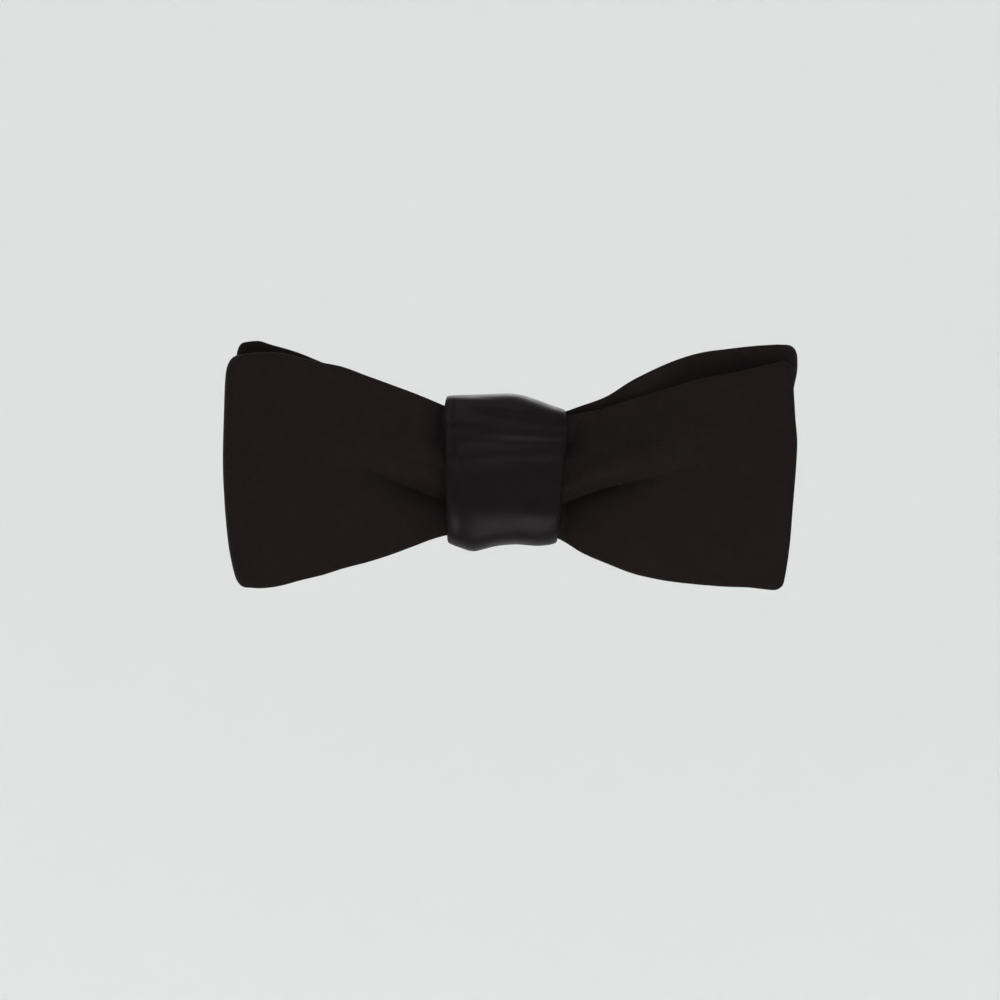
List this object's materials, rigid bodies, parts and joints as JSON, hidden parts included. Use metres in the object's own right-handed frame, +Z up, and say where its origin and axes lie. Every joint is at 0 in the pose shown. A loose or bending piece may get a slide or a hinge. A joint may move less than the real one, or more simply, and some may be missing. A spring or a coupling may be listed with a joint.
{
  "type": "bow tie",
  "caption": "Self-tied batwing bow tie in near-black matte silk, worn as a closed neckband loop with a sliding adjuster and a hook and eye at the nape.",
  "frame": {"origin": "centre of the neck opening, at the middle of the band's width", "axes": "+Z up along the neck; -Y to the front, through the knot; +X to the wearer's left, the viewer's right"},
  "size_m": [0.1303, 0.1435, 0.0553],
  "materials": {
    "bow_silk": "very matte near-black silk, faint warm purple cast, fine grain",
    "knot_silk": "near-black silk, slightly more satin where it is drawn tight",
    "band_silk": "matte near-black silk, fine grain",
    "interlining": "dark brushed canvas",
    "tape": "black ribbed tape",
    "hardware": "nickel plate, polished, fine wear",
    "thread": "black sewing thread",
    "label": "plain woven satin label without text"
  },
  "bodies": {
    "bow_and_band": {"front_bow_outer_panel": "bow_silk", "front_bow_interlining": "interlining", "front_bow_inner_panel": "bow_silk", "rear_bow_outer_panel": "bow_silk", "rear_bow_interlining": "interlining", "rear_bow_inner_panel": "bow_silk", "knot_outer_panel": "knot_silk", "knot_interlining": "interlining", "knot_inner_panel": "knot_silk", "left_band_outer_panel": "band_silk", "left_band_interlining": "interlining", "left_band_inner_panel": "band_silk", "right_band_outer_panel": "band_silk", "right_band_interlining": "interlining", "right_band_inner_panel": "band_silk", "tape_adjuster": "tape", "tape_eye": "tape", "adjuster_bar_tack": "thread", "eye_bar_tack": "thread", "tail_bar_tack": "thread", "label": "label", "label_stitches": "thread"},
    "slider": {"slider": "hardware"},
    "hook": {"hook": "hardware"},
    "eye": {"eye": "hardware"}
  },
  "joints": [
    {"name": "slider_travel", "type": "hinge", "parent": "bow_and_band", "child": "slider", "pos_m": [0, 0, 0], "axis": [0, 0, 1], "range_deg": [-18, 30]},
    {"name": "hook_swivel", "type": "hinge", "parent": "bow_and_band", "child": "hook", "pos_m": [0.0111, 0.06293, 0], "axis": [0, 0, -1], "range_deg": [0, 10]},
    {"name": "eye_swivel", "type": "hinge", "parent": "bow_and_band", "child": "eye", "pos_m": [-0.0111, 0.06293, 0], "axis": [0, 0, 1], "range_deg": [0, 11.9]}
  ],
  "couplings": [
    {"joint": "eye_swivel", "follows": "hook_swivel", "ratio": 1.1765}
  ]
}
